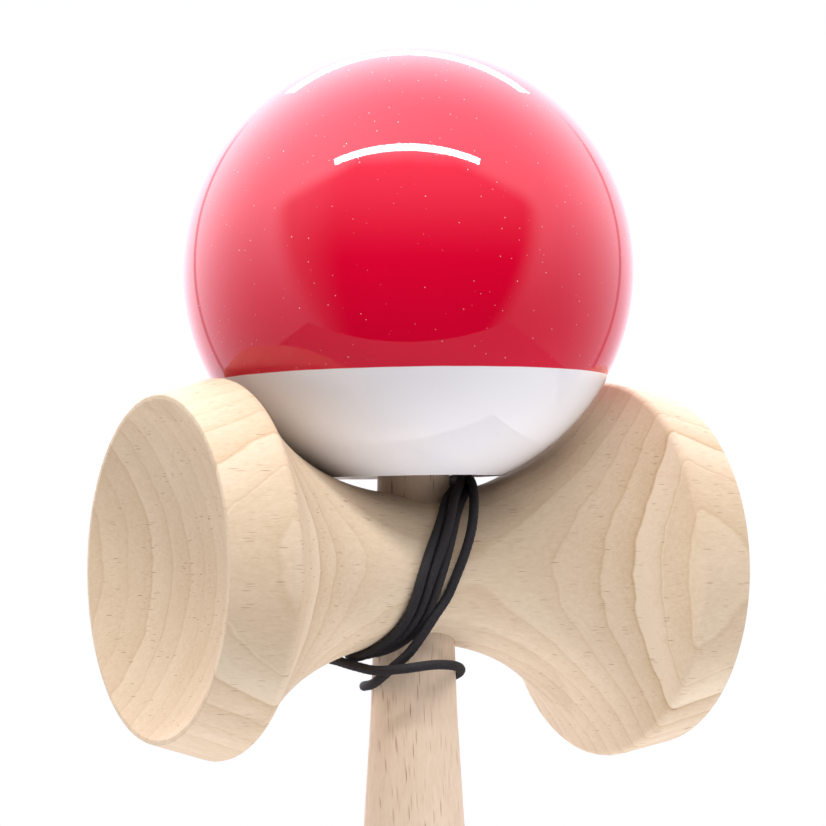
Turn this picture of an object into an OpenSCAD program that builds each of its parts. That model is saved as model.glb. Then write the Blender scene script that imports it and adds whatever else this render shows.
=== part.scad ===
// Kendama: a turned handle with a spike and a base cup, a cross-piece with two cups,
// a bored ball on the spike, and one string wound round the cross-piece's waist.
// +X points to the big cup, +Z up the handle, and the base rim stands on Z = 0.

/* [Cross-piece] */
// Height of the cross-piece's axis above the base rim
axis_h = 114; // [105:1:125]
// Half of the cross-piece's length, from the handle's axis to each lip
cross_half = 37; // [34:0.5:42]
// Radius of the waist
waist_r = 9.85; // [9.4:0.05:10.4]
// Half of the straight length of the waist
waist_flat = 1.5; // [0.8:0.1:2.5]
// Distance from the handle's axis to each cup's shoulder
shoulder_x = 28.6; // [26:0.2:31]
// Radius of the small cup's shoulder
small_shoulder_r = 24.35; // [23:0.05:26]
// Radius of the small cup's lip
small_lip_r = 21.9; // [20:0.1:23]
// Depth of the small cup's bowl
small_bowl_depth = 9.7; // [7:0.1:12]
// Radius of the big cup's shoulder
big_shoulder_r = 25.35; // [24:0.05:27]
// Radius of the big cup's lip
big_lip_r = 23.7; // [22:0.1:25]
// Depth of the big cup's bowl
big_bowl_depth = 10.6; // [8:0.1:13]
// Rounding of the cups' shoulders
shoulder_round = 1.2; // [0.6:0.1:2]
// Width of the flat land at a cup's lip
lip_land = 1; // [0.6:0.1:1.6]
// Chamfer on the outer edge of a cup's lip
lip_chamfer = 0.3; // [0.1:0.05:0.5]

/* [Handle and spike] */
// Clearance between the spike's tip and the string's end knot above it
tip_gap = 2.75; // [1.5:0.05:6]
// Radius of the spike where it leaves the cross-piece
spike_root_r = 4.79; // [4.4:0.01:4.9]
// Height above the cross-piece's axis at which that radius is taken
spike_root_rise = 9.9; // [9:0.1:11]
// Radius of the spike where its rounded nose starts
nose_r = 3.9; // [3.4:0.1:4.3]
// Length of the rounded nose
nose_len = 12; // [8:0.5:16]
// Radius of the handle just below the cross-piece
collar_r = 5.4; // [5:0.01:5.6]
// Drop from the cross-piece's axis to where that radius is taken
collar_drop = 11; // [10.5:0.1:12]
// Radius of the grip where its straight taper starts
grip_r = 6.14; // [5.8:0.02:6.6]
// Drop from the cross-piece's axis to the start of the grip's taper
grip_drop = 26.5; // [22:0.5:32]
// Radius of the grip at its lower end
neck_r = 9.8; // [8.8:0.1:10.4]
// Height of the grip's lower end
neck_h = 30; // [26:0.5:36]
// Radius of the base cup's shoulder
base_shoulder_r = 19.8; // [18.6:0.1:21.5]
// Height of the base cup's shoulder
base_shoulder_h = 8.5; // [6.5:0.1:11]
// Radius of the base cup's lip
base_lip_r = 18.6; // [17:0.1:20]
// Depth of the base cup's bowl
base_bowl_depth = 6.5; // [5:0.1:8]

/* [Ball] */
// Diameter of the ball
ball_d = 60; // [59:0.1:61]
// How far the ball rests off the spike's axis, towards the small cup
ball_shift = 0.8; // [0.4:0.1:1.2]
// Outer radius of the ball's mouth
mouth_r = 12; // [11.6:0.1:12.4]
// Width of the flat land round the mouth
mouth_land = 0.35; // [0.2:0.05:0.6]
// Radius of the bore for the spike
bore_r = 10.5; // [10.2:0.1:10.9]
// Height of the bevel between the mouth and the bore
mouth_bevel = 1.5; // [1:0.1:2]
// Wood left between the bore's end and the top of the ball
crown_wall = 10; // [9:0.1:11]
// Radius of the string hole in the crown
crown_hole_r = 1.5; // [1.2:0.05:1.9]
// Radius of the countersink round that hole
countersink_r = 3.6; // [3.3:0.1:4.4]
// Depth of the countersink below the top of the ball
countersink_depth = 2; // [1.8:0.1:3]
// Clearance between the ball's mouth and the cross-piece that it rests on
seat_gap = 0.15; // [0.1:0.05:0.6]

/* [Bead] */
// Diameter of the swivel bead
bead_d = 7.5; // [6:0.1:9]
// Height of the swivel bead
bead_h = 5.5; // [4.6:0.1:6]
// Radius of the bead's hole
bead_hole_r = 1.1; // [0.85:0.05:1.5]
// Rounding of the bead's edges
bead_round = 1.2; // [0.6:0.1:2]
// Clearance between the bead and the end of the ball's bore
bead_gap = 0.25; // [0.15:0.05:0.5]

/* [String] */
// Diameter of the string
string_d = 1.25; // [1:0.05:1.3]
// Air between the string and the wood that it lies on
string_gap = 0.25; // [0.2:0.01:0.35]
// Distance between the middles of neighbouring turns
turn_step = 1.84; // [1.78:0.01:1.9]
// How far the last pass stands off its neighbour on the front
loose_pass = 0.9; // [0:0.1:1.2]
// Radius of the string's hole through the cross-piece and the handle
string_hole_r = 1.2; // [0.9:0.05:1.5]
// Diameter of the stopper knots
knot_d = 3.6; // [3:0.1:3.9]
// Height of the stopper knots
knot_h = 3; // [2.6:0.1:3.2]
// Clearance round the knot in the handle's pocket
knot_gap = 0.3; // [0.2:0.05:0.5]

/* [Hidden] */
$fn = 96;
// Overrun of every cut past the face that it leaves
over = 1;
// Radial clearance of the tapered socket on the handle
socket_gap = 0.04;
flare_steps = 48;
round_steps = 6;
nose_steps = 10;

beech = [0.89, 0.80, 0.68];
lacquer_red = [0.80, 0.04, 0.14];
cord_black = [0.10, 0.10, 0.11];

// Points on an arc round c, from angle a to angle b
function arc(c, r, a, b, steps, first = 0) =
    [for (i = [first:steps]) c + r * [cos(a + (b - a) * i / steps), sin(a + (b - a) * i / steps)]];
function angle(v) = atan2(v[1], v[0]);
function unit(v) = v / norm(v);
function smooth(t) = let (k = min(max(t, 0), 1)) k * k * (3 - 2 * k);

// The hollow flare of a cup is an arc that leaves the stem at stem along its side, whose outward
// normal is side, and ends at the shoulder. Points are [radius, distance along the axis].
function flare_radius(stem, side, shoulder) =
    let (d = shoulder - stem) d * d / (2 * side * d);

// A cup's outline from its stem over its flare and rounded shoulder to its lip
function cup_outline(stem, side, shoulder, lip) =
    let (
        r = flare_radius(stem, side, shoulder),
        c = stem + r * side,
        band = unit(lip - shoulder),
        out = [band[1], -band[0]],
        g = shoulder - shoulder_round * out - c,
        reach = r + shoulder_round,
        t = -g * band + sqrt((g * band) * (g * band) - g * g + reach * reach),
        f = c + g + t * band,
        touch = c + (f - c) * r / reach
    )
    concat(
        arc(c, r, 180 + angle(side), angle(touch - c), flare_steps),
        arc(f, shoulder_round, angle(touch - f), angle(out), round_steps, 1),
        [lip, lip - [lip_chamfer, -lip_chamfer]]
    );
function mirrored(points) = [for (p = points) [p[0], -p[1]]];
function reversed(points) = [for (i = [len(points) - 1:-1:0]) points[i]];

// A ball that leaves a bowl of this depth inside the land of a lip
function bowl_radius(lip_r, depth) =
    let (r = lip_r - lip_chamfer - lip_land) (r * r + depth * depth) / (2 * depth);

// Cross-piece
waist_edge = [waist_r, waist_flat];
straight_side = [1, 0];
function cross_side(shoulder_r, lip_r) = cup_outline(
    waist_edge, straight_side, [shoulder_r, shoulder_x], [lip_r, cross_half - lip_chamfer]);
small_bowl_r = bowl_radius(small_lip_r, small_bowl_depth);
big_bowl_r = bowl_radius(big_lip_r, big_bowl_depth);
small_flare_r = flare_radius(waist_edge, straight_side, [small_shoulder_r, shoulder_x]);
big_flare_r = flare_radius(waist_edge, straight_side, [big_shoulder_r, shoulder_x]);
// Radius of the cross-piece at x, between its shoulders
function cross_r(x) =
    let (r = x < 0 ? small_flare_r : big_flare_r, t = max(abs(x) - waist_flat, 0))
    waist_r + r - sqrt(r * r - t * t);

// Ball, which rests with its mouth on the flares
ball_r = ball_d / 2;
mouth_drop = sqrt(ball_r * ball_r - mouth_r * mouth_r);
mouth_h = axis_h + max(cross_r(-ball_shift - mouth_r), cross_r(mouth_r - ball_shift)) + seat_gap;
ball_h = mouth_h + mouth_drop;
bore_end_h = ball_h + ball_r - crown_wall;
crown_h = ball_h + ball_r;
ball_axis = [-ball_shift, 0, 0];

// Bead and knots
bead_top_h = bore_end_h - bead_gap;
bead_low_h = bead_top_h - bead_h;
end_knot_h = bead_low_h - knot_h;
knot_round = knot_h / 3;

// Handle
spike_root_h = axis_h + spike_root_rise;
collar_h = axis_h - collar_drop;
grip_h = axis_h - grip_drop;
tenon_slope = (spike_root_r - collar_r) / (spike_root_h - collar_h);
function tenon_r(z) = collar_r + tenon_slope * (z - collar_h);
grip_slope = (grip_r - neck_r) / (grip_h - neck_h);
tip_h = end_knot_h - tip_gap;
nose_h = tip_h - nose_len;
base_bowl_r = bowl_radius(base_lip_r, base_bowl_depth);
// The collar runs into the grip's taper along a curve with this pull at each end
collar_pull_share = 0.45;
function pulled(a, b, c, d, t) =
    a * pow(1 - t, 3) + 3 * b * t * pow(1 - t, 2) + 3 * c * t * t * (1 - t) + d * pow(t, 3);
collar_pull = collar_pull_share * (collar_h - grip_h);
collar_curve = [for (i = [0:round_steps]) pulled(
    [grip_r, grip_h], [grip_r + grip_slope * collar_pull, grip_h + collar_pull],
    [collar_r - tenon_slope * collar_pull, collar_h - collar_pull], [collar_r, collar_h],
    i / round_steps)];
nose_curve = [for (i = [0:nose_steps])
    [nose_r * cos(90 * i / nose_steps), nose_h + nose_len * sin(90 * i / nose_steps)]];
base_side = cup_outline([neck_r, -neck_h], unit([1, grip_slope]),
    [base_shoulder_r, -base_shoulder_h], [base_lip_r, -lip_chamfer]);
handle_outline = concat(
    [[0, 0]], reversed(mirrored(base_side)), collar_curve, [[spike_root_r, spike_root_h]], nose_curve);
pocket_r = knot_d / 2 + knot_gap;
pocket_floor = tenon_r(axis_h) - knot_h - 2 * knot_gap;

// String: places are given from the cross-piece's axis at the handle
// Passes of the string over the front of the waist
front_passes = 4;
// Out of the hole at the back and up to the first turn
start_route = [[0, waist_r, 0], [0, 11.15, 0], [0.2, 12.5, 0.7], [0.8, 12.9, 2.4], [1.9, 12.1, 5]];
// Middle of the turns along X at every 45 degrees, from the top towards the front
lay_x = [7.6, 3.1, -2.4, -5, -7.5, -3.5, 3.9, 6.2];
first_turn_angle = -40;
last_turn_angle = 360 * (front_passes - 1) + 110;
rings_per_turn = 24;
// From the last pass round the handle, under the small cup's flare and up behind it
hitch_route = [
    [-2.4, -8.6, -8.4], [-3, -7, -10.8], [-3.9, -5.6, -12.8], [-5.7, -2.9, -14.5], [-6.3, 1.2, -15.2],
    [-4.2, 5, -15.3], [0, 6.5, -15], [4.3, 4.9, -14.5], [6.4, 1, -13.9], [5.8, -3.2, -13.2],
    [2.9, -6.6, -12.6], [-1.2, -8.4, -12.3], [-5.4, -8.2, -12.3], [-9.2, -5.2, -12.8], [-11.8, -1, -13.1],
    [-13, 3.4, -12.8], [-13.1, 7.7, -10.6], [-12.4, 11, -6.8], [-11.4, 12.6, -2.4], [-10.8, 13.3, 0.6]
];
// Up to the ball, over its back and into the hole in its crown
lead_route = [
    [-10.2, 14.4, 4], [-9.2, 17.8, 10.4], [-8.2, 21.6, 16.8], [-7.1, 25.6, 23], [-6.4, 28.5, 28.4],
    [-5.6, 30.2, 34.2], [-4, 30.3, 44.9], [-2.4, 26.7, 55], [-1.5, 19.9, 63.2], [-0.8, 10.6, 68.6],
    [-0.8, 5.4, 69.9], [-0.8, 2.9, 70], [-0.8, 1.2, 69.4], [-0.8, 0.2, 68], [-0.8, 0, 66.2], [-0.8, 0, 64.5]
];
lead_end_h = axis_h + lead_route[len(lead_route) - 1][2];

// A smooth curve through four values or points, between the middle two
function through(a, b, c, d, t) =
    (2 * b + (c - a) * t + (2 * a - 5 * b + 4 * c - d) * t * t + (3 * b - a - 3 * c + d) * t * t * t) / 2;
function lay(angle) =
    let (q = (angle % 360 + 360) % 360 / 45, i = floor(q))
    through(lay_x[(i + 7) % 8], lay_x[i % 8], lay_x[(i + 1) % 8], lay_x[(i + 2) % 8], q - i);
// Turns lie in two layers on the front, at this angle to each other, and side by side at the back
nest_angle = 56;
nest_spread_share = 0.8;
function nesting(angle) = nest_angle * smooth((sin(angle) + 1) / nest_spread_share);
function lay_tilt(angle) =
    atan2((lay(angle + 1) - lay(angle - 1)) * 90 / PI, cross_r(lay(angle)) + string_gap + string_d / 2);
// The loose pass leaves its neighbour between the first two angles and rejoins it between the others
loose_angles = [5, 60, 70, 120];
function looseness(angle) =
    smooth((angle - loose_angles[0]) / (loose_angles[1] - loose_angles[0]))
    * (1 - smooth((angle - loose_angles[2]) / (loose_angles[3] - loose_angles[2])));
// Middle of the string at an angle counted through all the turns
function wound(angle) =
    let (
        turn = angle / 360,
        pass = floor(turn + 1 / 4),
        is_last = pass == front_passes - 1,
        pitch = turn_step * cos(nesting(angle)) / cos(lay_tilt(angle)),
        beside = turn - (front_passes - 1) / 2,
        x = lay(angle) + (is_last
            ? pitch * (beside - 1) + turn_step / cos(lay_tilt(angle))
                + loose_pass * looseness(angle - 360 * pass)
            : pitch * beside),
        layer = is_last ? 0 : pass % 2,
        r = cross_r(x) + string_gap + string_d / 2 + layer * turn_step * sin(nesting(angle))
    )
    [x, -r * sin(angle), r * cos(angle)];
turn_rings = round((last_turn_angle - first_turn_angle) / 360 * rings_per_turn);
turns = [for (i = [0:turn_rings])
    wound(first_turn_angle + (last_turn_angle - first_turn_angle) * i / turn_rings)];

// All the string outside the wood, with the hand-laid stretches divided in two
laid_cuts = 2;
spots = concat(start_route, turns, hitch_route, lead_route);
ends = concat([2 * spots[0] - spots[1]], spots, [2 * spots[len(spots) - 1] - spots[len(spots) - 2]]);
function is_turn(i) = i >= len(start_route) && i < len(start_route) + len(turns) - 1;
line = concat(
    [for (i = [0:len(spots) - 2]) let (cuts = is_turn(i) ? 1 : laid_cuts) for (k = [0:cuts - 1])
        through(ends[i], ends[i + 1], ends[i + 2], ends[i + 3], k / cuts)],
    [spots[len(spots) - 1]]);
last_ring = len(line) - 1;
lead_ring = last_ring - laid_cuts * len(lead_route);
function heading(i) = unit(line[min(i + 1, last_ring)] - line[max(i - 1, 0)]);
headings = [for (i = [0:last_ring]) i == 0 ? [0, 1, 0] : i == last_ring ? [0, 0, -1] : heading(i)];
sides = [for (i = 0, n = [1, 0, 0]; i <= last_ring;
    i = i + 1, n = i > last_ring ? n : unit(n - (n * headings[i]) * headings[i])) n];

string_sides = 8;
function ring(i) = let (n = sides[i], b = cross(headings[i], n)) [for (k = [0:string_sides - 1])
    line[i] + string_d / 2 * (n * cos(360 * k / string_sides) + b * sin(360 * k / string_sides))];

// The least air between stretches of the string that aren't next to each other
near_rings = 4;
least_gap = min([for (i = [0:last_ring - near_rings]) for (j = [i + near_rings:last_ring])
    norm(line[i] - line[j])]) - string_d;
string_steps = [for (i = [1:last_ring]) norm(line[i] - line[i - 1])];
string_len = string_steps * [for (s = string_steps) 1];
echo(least_gap_of_string_to_itself_mm = least_gap, string_outside_mm = string_len);

// The string from one ring to another, as one closed tube
module tube(from, to) {
    rings = to - from + 1;
    points = [for (i = [from:to]) each ring(i)];
    function at(i, k) = i * string_sides + k % string_sides;
    walls = [for (i = [0:rings - 2]) for (k = [0:string_sides - 1]) each [
        [at(i, k), at(i + 1, k), at(i, k + 1)], [at(i, k + 1), at(i + 1, k), at(i + 1, k + 1)]]];
    first_cap = [for (k = [1:string_sides - 2]) [at(0, 0), at(0, k), at(0, k + 1)]];
    last_cap = [for (k = [1:string_sides - 2]) [at(rings - 1, 0), at(rings - 1, k + 1), at(rings - 1, k)]];
    translate([0, 0, axis_h]) polyhedron(points, concat(walls, first_cap, last_cap), convexity = 10);
}

// A bored or solid barrel of revolution with rounded edges, standing on the origin
module barrel(r, h, edge, hole_r) {
    rotate_extrude() polygon(concat(
        [[hole_r, 0]],
        arc([r - edge, edge], edge, -90, 0, round_steps),
        arc([r - edge, h - edge], edge, 0, 90, round_steps),
        [[hole_r, h]]));
}

module stopper_knot() { barrel(knot_d / 2, knot_h, knot_round, 0); }

// Turned beech handle: base cup, grip, tapered tenon and spike, with the string's cross hole
module ken_handle() {
    color(beech) difference() {
        rotate_extrude() polygon(handle_outline);
        translate([0, 0, base_bowl_depth - base_bowl_r]) sphere(r = base_bowl_r);
        translate([0, 0, axis_h]) rotate([-90, 0, 0]) {
            translate([0, 0, -collar_r]) cylinder(h = 2 * collar_r, r = string_hole_r);
            translate([0, 0, -collar_r - over]) cylinder(h = collar_r + over - pocket_floor, r = pocket_r);
        }
    }
}

// Turned beech cross-piece with its two bowls, tapered socket and string hole
module sarado_cross_piece() {
    color(beech) difference() {
        translate([0, 0, axis_h]) rotate([0, 90, 0]) rotate_extrude() polygon(concat(
            [[0, -cross_half]],
            reversed(mirrored(cross_side(small_shoulder_r, small_lip_r))),
            cross_side(big_shoulder_r, big_lip_r),
            [[0, cross_half]]));
        translate([-cross_half + small_bowl_depth - small_bowl_r, 0, axis_h]) sphere(r = small_bowl_r);
        translate([cross_half - big_bowl_depth + big_bowl_r, 0, axis_h]) sphere(r = big_bowl_r);
        socket_low = axis_h - waist_r - over;
        socket_top = axis_h + waist_r + over;
        translate([0, 0, socket_low]) cylinder(h = socket_top - socket_low,
            r1 = tenon_r(socket_low) + socket_gap, r2 = tenon_r(socket_top) + socket_gap);
        translate([0, 0, axis_h]) rotate([-90, 0, 0]) cylinder(h = waist_r + over, r = string_hole_r);
    }
}

// Lacquered ball with the bore for the spike, a bevelled mouth and the string hole in its crown
module tama_ball() {
    color(lacquer_red) translate(ball_axis) difference() {
        translate([0, 0, ball_h]) sphere(r = ball_r);
        translate([0, 0, mouth_h - ball_r]) cylinder(h = ball_r, r = ball_r);
        translate([0, 0, mouth_h - over]) cylinder(h = bore_end_h - mouth_h + over, r = bore_r);
        bevel_r = mouth_r - mouth_land;
        bevel_over = over * (bevel_r - bore_r) / mouth_bevel;
        translate([0, 0, mouth_h - over])
            cylinder(h = mouth_bevel + over, r1 = bevel_r + bevel_over, r2 = bore_r);
        translate([0, 0, bore_end_h - over]) cylinder(h = crown_wall + 2 * over, r = crown_hole_r);
        sink_over = over * (countersink_r - crown_hole_r) / countersink_depth;
        translate([0, 0, crown_h - countersink_depth])
            cylinder(h = countersink_depth + over, r1 = crown_hole_r, r2 = countersink_r + sink_over);
    }
}

// Swivel bead that stops the string at the end of the bore
module swivel_bead() {
    color(beech) translate(ball_axis + [0, 0, bead_low_h])
        barrel(bead_d / 2, bead_h, bead_round, bead_hole_r);
}

// Stopper knot in the handle's pocket, and the string through the wood to the back of the waist
module string_anchor() {
    color(cord_black) translate([0, 0, axis_h]) rotate([-90, 0, 0]) {
        knot_top = -pocket_floor;
        translate([0, 0, knot_top - knot_h]) stopper_knot();
        translate([0, 0, knot_top - knot_h / 2])
            cylinder(h = waist_r - knot_top + knot_h / 2, d = string_d);
    }
}

// Turns round the waist, and the hitch round the handle below them
module string_winding() { color(cord_black) tube(0, lead_ring); }

// Free run of the string up behind the ball and into its crown
module string_lead() { color(cord_black) tube(lead_ring, last_ring); }

// End of the string through the crown and the bead, with its stopper knot
module string_tail() {
    color(cord_black) translate(ball_axis) {
        translate([0, 0, end_knot_h]) stopper_knot();
        translate([0, 0, bead_low_h - knot_h / 2])
            cylinder(h = lead_end_h - bead_low_h + knot_h / 2, d = string_d);
    }
}

ken_handle();
sarado_cross_piece();
tama_ball();
swivel_bead();
string_anchor();
string_winding();
string_lead();
string_tail();
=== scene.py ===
# Kendama: a beech handle and cross-piece, a lacquered ball on the spike, and one black string.
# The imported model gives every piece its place, in metres, with the base rim on the ground.
import math

import bmesh
import bpy
import numpy as np
from mathutils import Matrix, Vector


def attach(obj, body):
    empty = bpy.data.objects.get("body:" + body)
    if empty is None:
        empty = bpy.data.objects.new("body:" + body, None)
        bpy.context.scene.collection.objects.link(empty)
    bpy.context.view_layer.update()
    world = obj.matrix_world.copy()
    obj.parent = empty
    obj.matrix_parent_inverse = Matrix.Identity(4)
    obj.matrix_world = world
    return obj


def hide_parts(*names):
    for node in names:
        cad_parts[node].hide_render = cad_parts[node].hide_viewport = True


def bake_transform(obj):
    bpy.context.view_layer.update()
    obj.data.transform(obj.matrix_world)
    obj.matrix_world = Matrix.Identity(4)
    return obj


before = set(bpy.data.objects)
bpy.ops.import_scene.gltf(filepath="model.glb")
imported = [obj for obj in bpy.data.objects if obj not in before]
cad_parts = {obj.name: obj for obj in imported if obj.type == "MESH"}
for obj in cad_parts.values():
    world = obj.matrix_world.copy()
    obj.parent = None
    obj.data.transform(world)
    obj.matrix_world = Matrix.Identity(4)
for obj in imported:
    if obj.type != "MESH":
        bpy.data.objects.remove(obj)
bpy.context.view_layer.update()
mm = 0.001


# Beech
# Both turned pieces are the same pale beech, fine-sanded under a thin satin finish.
# The figure runs right through the wood: growth layers, fibre, and short brown ray flecks.
def put(tree, kind, into=None, **traits):
    """A new node with these settings, its inputs set to values or linked to sockets."""
    made = tree.nodes.new(kind)
    for trait, value in traits.items():
        setattr(made, trait, value)
    for socket, value in (into or {}).items():
        if isinstance(value, bpy.types.NodeSocket):
            tree.links.new(value, made.inputs[socket])
        else:
            made.inputs[socket].default_value = value
    return made


def reckon(tree, operation, *numbers):
    """One step of arithmetic on sockets or numbers."""
    return put(tree, "ShaderNodeMath", dict(enumerate(numbers)), operation=operation).outputs[0]


def eased(tree, value, low, high, start=0.0, end=1.0):
    """value taken smoothly from start at low to end at high."""
    made = put(tree, "ShaderNodeMapRange", {0: value, 1: low, 2: high, 3: start, 4: end},
               interpolation_type="SMOOTHSTEP")
    return made.outputs[0]


def blended(tree, share, first, second):
    """One colour mixed into another by a share from 0 to 1."""
    return put(tree, "ShaderNodeMix", {0: share, 6: first, 7: second}, data_type="RGBA").outputs[2]


def between(tree, share, first, second):
    """A number between two others, by a share from 0 to 1."""
    return put(tree, "ShaderNodeMix", {0: share, 2: first, 3: second}).outputs[0]


def about_zero(tree, noise, span):
    """Noise from 0 to 1 turned into a swing round zero, this wide in all."""
    return reckon(tree, "MULTIPLY", reckon(tree, "SUBTRACT", noise, 0.5), span)


def new_finish(name):
    """A new material, its nodes and its surface shader."""
    finish = bpy.data.materials.new(name)
    finish.use_nodes = True
    return finish, finish.node_tree, finish.node_tree.nodes["Principled BSDF"]


plank = bpy.data.node_groups.new("beech_figure", "ShaderNodeTree")
for title, kind, usual in (
    ("Place", "NodeSocketVector", (0, 0, 0)),
    ("Pale", "NodeSocketColor", (0.735, 0.595, 0.435, 1)),
    ("Deep", "NodeSocketColor", (0.515, 0.352, 0.202, 1)),
    ("Fleck", "NodeSocketColor", (0.25, 0.11, 0.045, 1)),
    ("Layer", "NodeSocketFloat", 2.9 * mm),
    ("First layer", "NodeSocketFloat", 0.0),
    ("Layer depth", "NodeSocketFloat", 0.5),
    ("Fleck length", "NodeSocketFloat", 4.5 * mm),
    ("Fleck share", "NodeSocketFloat", 0.5),
    ("Fleck depth", "NodeSocketFloat", 0.9),
):
    plank.interface.new_socket(title, in_out="INPUT", socket_type=kind).default_value = usual
for title, kind in (
    ("Colour", "NodeSocketColor"), ("Roughness", "NodeSocketFloat"), ("Height", "NodeSocketFloat")
):
    plank.interface.new_socket(title, in_out="OUTPUT", socket_type=kind)
log = put(plank, "NodeGroupInput").outputs


def stretched(along, across, flat=None):
    """The place in the log, counted in steps along the grain, across the layers and along a layer."""
    shares = put(plank, "ShaderNodeCombineXYZ", {0: along, 1: across, 2: flat or across}).outputs[0]
    return put(plank, "ShaderNodeVectorMath", {0: log["Place"], 1: shares}, operation="MULTIPLY").outputs[0]


def cloud(place, detail):
    """Soft noise from 0 to 1 at a stretched place."""
    return put(plank, "ShaderNodeTexNoise", {"Vector": place, "Scale": 1.0, "Detail": detail,
                                             "Roughness": 0.6}).outputs[0]


grain = put(plank, "ShaderNodeSeparateXYZ", {0: log["Place"]}).outputs
wander = about_zero(plank, cloud(stretched(16.0, 40.0), 2.0), 3.4 * mm)
ripple = about_zero(plank, cloud(stretched(110.0, 330.0), 1.0), 0.7 * mm)
across = reckon(plank, "ADD", grain[1], reckon(plank, "ADD", wander, ripple))
years = reckon(plank, "DIVIDE", reckon(plank, "SUBTRACT", log["First layer"], across), log["Layer"])
season = put(plank, "ShaderNodeValToRGB", {0: reckon(plank, "FRACT", years)})
shades = season.color_ramp.elements
for end in (0, 1):
    shades[end].position, shades[end].color = float(end), (0.05, 0.05, 0.05, 1)
for spot, shade in ((0.08, 0.0), (0.45, 0.16), (0.80, 0.42), (0.89, 0.60), (0.93, 0.95), (0.965, 0.55)):
    shades.new(spot).color = (shade, shade, shade, 1)
# Each year's layer has its own sharpness and brownness
year_slots = 20
year = reckon(plank, "MULTIPLY_ADD", reckon(plank, "FLOOR", years), -1 / year_slots, 0.5 / year_slots)
good_years = put(plank, "ShaderNodeValToRGB", {0: year})
good_years.color_ramp.interpolation = "CONSTANT"
bands = good_years.color_ramp.elements
for i, (sharp, brown) in enumerate((
        (0.3, 0.50), (0.5, 0.66), (1.0, 0.22), (1.1, 0.68), (0.8, 0.56), (0.6, 0.40),
        (0.4, 0.50), (0.5, 0.46), (0.4, 0.54), (0.5, 0.48), (0.4, 0.56), (0.5, 0.42),
        (0.5, 0.54), (0.9, 0.38), (0.7, 0.60), (0.5, 0.46), (0.6, 0.54), (0.4, 0.50))):
    band = bands[i] if i < 2 else bands.new(i / year_slots)
    band.position, band.color = i / year_slots, (sharp, brown, 0, 1)
sharp_year, brown_year, _ = put(plank, "ShaderNodeSeparateColor", {0: good_years.outputs[0]}).outputs
layers = reckon(plank, "MULTIPLY", reckon(plank, "SUBTRACT", season.outputs[0], 0.22), sharp_year)
layers = reckon(plank, "ADD", layers, reckon(plank, "SUBTRACT", brown_year, 0.5))
one_end = eased(plank, grain[0], -25 * mm, 12 * mm, 0.75, 1.0)
layers = reckon(plank, "MULTIPLY", layers, reckon(plank, "MULTIPLY", one_end, log["Layer depth"]))
fibre = cloud(stretched(240.0, 5200.0), 3.0)
mottle = cloud(stretched(520.0, 1900.0), 2.0)
drift = cloud(stretched(26.0, 75.0), 2.0)
fleck_steps = stretched(reckon(plank, "DIVIDE", 1.0, log["Fleck length"]), 640.0, 3900.0)
fleck_cells = put(plank, "ShaderNodeTexVoronoi", {"Vector": fleck_steps, "Scale": 1.0})
fleck_chance = put(plank, "ShaderNodeSeparateColor", {0: fleck_cells.outputs["Color"]}).outputs
fleck = reckon(plank, "MULTIPLY", eased(plank, fleck_cells.outputs["Distance"], 0.30, 0.14),
               reckon(plank, "LESS_THAN", fleck_chance[0], log["Fleck share"]))
faint = reckon(plank, "MULTIPLY_ADD", reckon(plank, "POWER", fleck_chance[1], 2.0), 0.5, 0.18)
fleck = reckon(plank, "MULTIPLY", fleck, reckon(plank, "MULTIPLY", faint, log["Fleck depth"]))
tone = layers
for noise, span in ((fibre, 0.5), (mottle, 0.5), (drift, 0.6)):
    tone = reckon(plank, "ADD", tone, about_zero(plank, noise, span))
tone = put(plank, "ShaderNodeClamp", {0: reckon(plank, "ADD", tone, 0.30)}).outputs[0]
figured = blended(plank, fleck, blended(plank, tone, log["Pale"], log["Deep"]), log["Fleck"])
put(plank, "NodeGroupOutput", {
    "Colour": figured,
    "Roughness": reckon(plank, "MULTIPLY_ADD", fibre, 0.16, 0.5),
    "Height": reckon(plank, "SUBTRACT", reckon(plank, "MULTIPLY", fibre, 0.6), fleck)})


def beech(name, turn, heart, **figure):
    """A beech finish: its grain is turned from X along the piece, with the log's heart moved aside."""
    finish, tree, surface = new_finish(name)
    place = put(tree, "ShaderNodeMapping", {
        "Vector": put(tree, "ShaderNodeTexCoord").outputs["Object"], "Rotation": turn, "Location": heart})
    wood = put(tree, "ShaderNodeGroup", node_tree=plank)
    tree.links.new(place.outputs[0], wood.inputs["Place"])
    for title, value in figure.items():
        wood.inputs[title.replace("_", " ").capitalize()].default_value = value
    relief = put(tree, "ShaderNodeBump", {
        "Height": wood.outputs["Height"], "Strength": 0.35, "Distance": 0.06 * mm})
    tree.links.new(wood.outputs["Colour"], surface.inputs["Base Color"])
    tree.links.new(wood.outputs["Roughness"], surface.inputs["Roughness"])
    tree.links.new(relief.outputs[0], surface.inputs["Normal"])
    surface.inputs["Specular IOR Level"].default_value = 0.2
    return finish


# Handle
# One length of beech turned between centres: base cup, tapering grip, tenon and spike.
# The edges are softened with fine paper, and the string's hole is drilled across the tenon.
def arc(centre, radius, start, end, steps):
    """Points on an arc, by angles in degrees."""
    turns = np.radians(np.linspace(start, end, steps + 1))
    return [(centre[0] + radius * math.cos(t), centre[1] + radius * math.sin(t)) for t in turns]


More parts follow.
